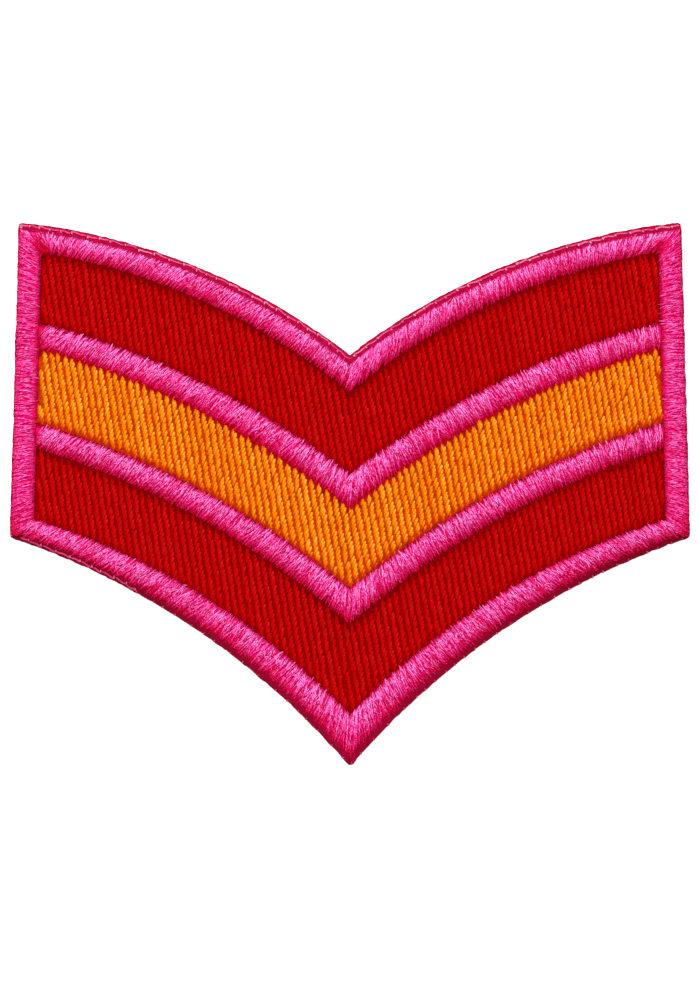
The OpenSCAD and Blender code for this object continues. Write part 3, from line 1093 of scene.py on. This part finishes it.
def lay_running_stitch(at, on_top):
    """A running stitch with the knot at its end. Returns the distance to the next one."""
    stitch = rng.uniform(1.2, 2.0)
    share = np.linspace(0, 1, 11)
    line = RIM_LINE + rng.normal(0, 0.05)
    hump = np.clip(np.minimum(share, 1 - share) / 0.15, 0, 1) ** 0.5
    # Along the foot the stitches are darker: painted shade
    tint = rng.uniform(0.3, 0.9) if on_top else rng.uniform(0.0, 0.4)
    inset = line + 0.1 * (0.5 - share) + 0.055 * np.sin(2 * math.pi * share + rng.uniform(0, 6.3))
    sink = 0.0 if on_top else FOOT_SINK
    radius = RIM_THREAD_RADIUS * (0.5 + 0.5 * hump)
    lay_rim_thread(at + stitch * share, inset, 0.1 * hump - 0.06 - sink, radius, tint)
    knot = np.linspace(0, 1, 5)
    hump = np.sin(math.pi * knot)
    inset = line - 0.05 + (0.22 + 0.1 * rng.uniform()) * knot
    radius = RIM_THREAD_RADIUS * (0.6 + 0.4 * hump)
    high, tint = 0.03 + 0.08 * hump - sink, min(tint + 0.45, 1.2)
    lay_rim_thread(at + stitch - KNOT_LENGTH * knot, inset, high, radius, tint)
    return stitch + rng.uniform(0.02, 0.2)


at = 0.4
while at < cut_length[-1] - 0.8:
    x, y = on_rim(np.array([at]), 0.0)[0]
    on_top = y > edge_height(edge_arc("outline_top"), x) - 0.8
    on_side = not on_top and abs(x) > half_width(y, 0.3)
    if on_side or (not on_top and x > STITCHED_LEFT_OF):
        at += lay_tick(at, on_side)
    else:
        at += lay_running_stitch(at, on_top)

rim_stitching = store.join("rim_running_stitch")

# Polyester sewing thread, fine and evenly twisted: a paler pink than the satin, with a soft gloss.
pale_polyester_sewing_thread = thread_material(
    "pale_polyester_sewing_thread", [(0.1, "B41A4A"), (0.45, "E03A78"), (0.75, "FA669C"), (1.0, "FFACC8")],
    {"Roughness": 0.45, "Specular IOR Level": 0.4, "Specular Tint": hex_colour("FFC0E0")},
    under="6A0830", shaded_under="6A0830", contrast=(0.6, 0.15, 0.7, 1.6), twist=0.6, fibre_scale=(2.5, 4.0),
    relief=0.8,
)
rim_stitching.data.materials.append(pale_polyester_sewing_thread)
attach(rim_stitching, "root")

# Studio
# A white light-table top under the patch, which leaves almost no shadow on it, a broad soft light above
# and a little to the left, an even white surround, and a camera that looks straight down.

TABLE_SIZE = 3000.0
table_corners = TABLE_SIZE * np.array([(-1, -1, 0), (1, -1, 0), (1, 1, 0), (-1, 1, 0)])
table = joined_mesh("light_table", table_corners, [np.array([[0, 1, 2, 3]])])

# Opal acrylic sheet, cast and lit from below: an even milky white with a faint grain in its gloss.
opal_cast_acrylic, tree, shader = new_material("opal_cast_acrylic")
grain = add_node(tree, "TexNoise", {"Vector": add_node(tree, "TexCoord").outputs["Object"], "Scale": 400.0})
milk = colour_steps(tree, grain, [(0.3, "F2F2F2"), (0.7, "F6F6F6")])
fill_sockets(tree, shader, {
    "Base Color": milk, "Roughness": 0.8, "Specular IOR Level": 0.2,
    "Emission Color": hex_colour("FFFFFF"), "Emission Strength": 0.6,
})
table.data.materials.append(opal_cast_acrylic)

surround = bpy.data.worlds.new("white_surround")
surround.use_nodes = True
backdrop = surround.node_tree.nodes["Background"]
fill_sockets(surround.node_tree, backdrop, {"Color": (1.0, 0.97, 0.97, 1), "Strength": 0.85})
bpy.context.scene.world = surround

softbox = bpy.data.lights.new("softbox", "AREA")
softbox.shape = "DISK"
softbox.size = 0.26
softbox.energy = 2.8
softbox_object = bpy.data.objects.new("softbox", softbox)
softbox_object.location = (-0.15, 0.36, 0.62)
softbox_object.rotation_mode = "QUATERNION"
softbox_object.rotation_quaternion = (-Vector(softbox_object.location)).to_track_quat("-Z", "Y")
bpy.context.scene.collection.objects.link(softbox_object)

# Lens and sensor, and the height of the picture, its middle and the level of the face, all in mm
LENS = 100.0
SENSOR = 36.0
FRAME_HEIGHT = 131.96
FRAME_CENTRE_Y = -0.76
FACE_HEIGHT = 1.8
camera_data = bpy.data.cameras.new("camera")
camera_data.lens = LENS
camera_data.sensor_width = SENSOR
camera = bpy.data.objects.new("camera", camera_data)
camera.location = (0, FRAME_CENTRE_Y * MM, (FACE_HEIGHT + FRAME_HEIGHT * LENS / SENSOR) * MM)
bpy.context.scene.collection.objects.link(camera)
bpy.context.scene.camera = camera
bpy.context.scene.view_settings.view_transform = "Standard"
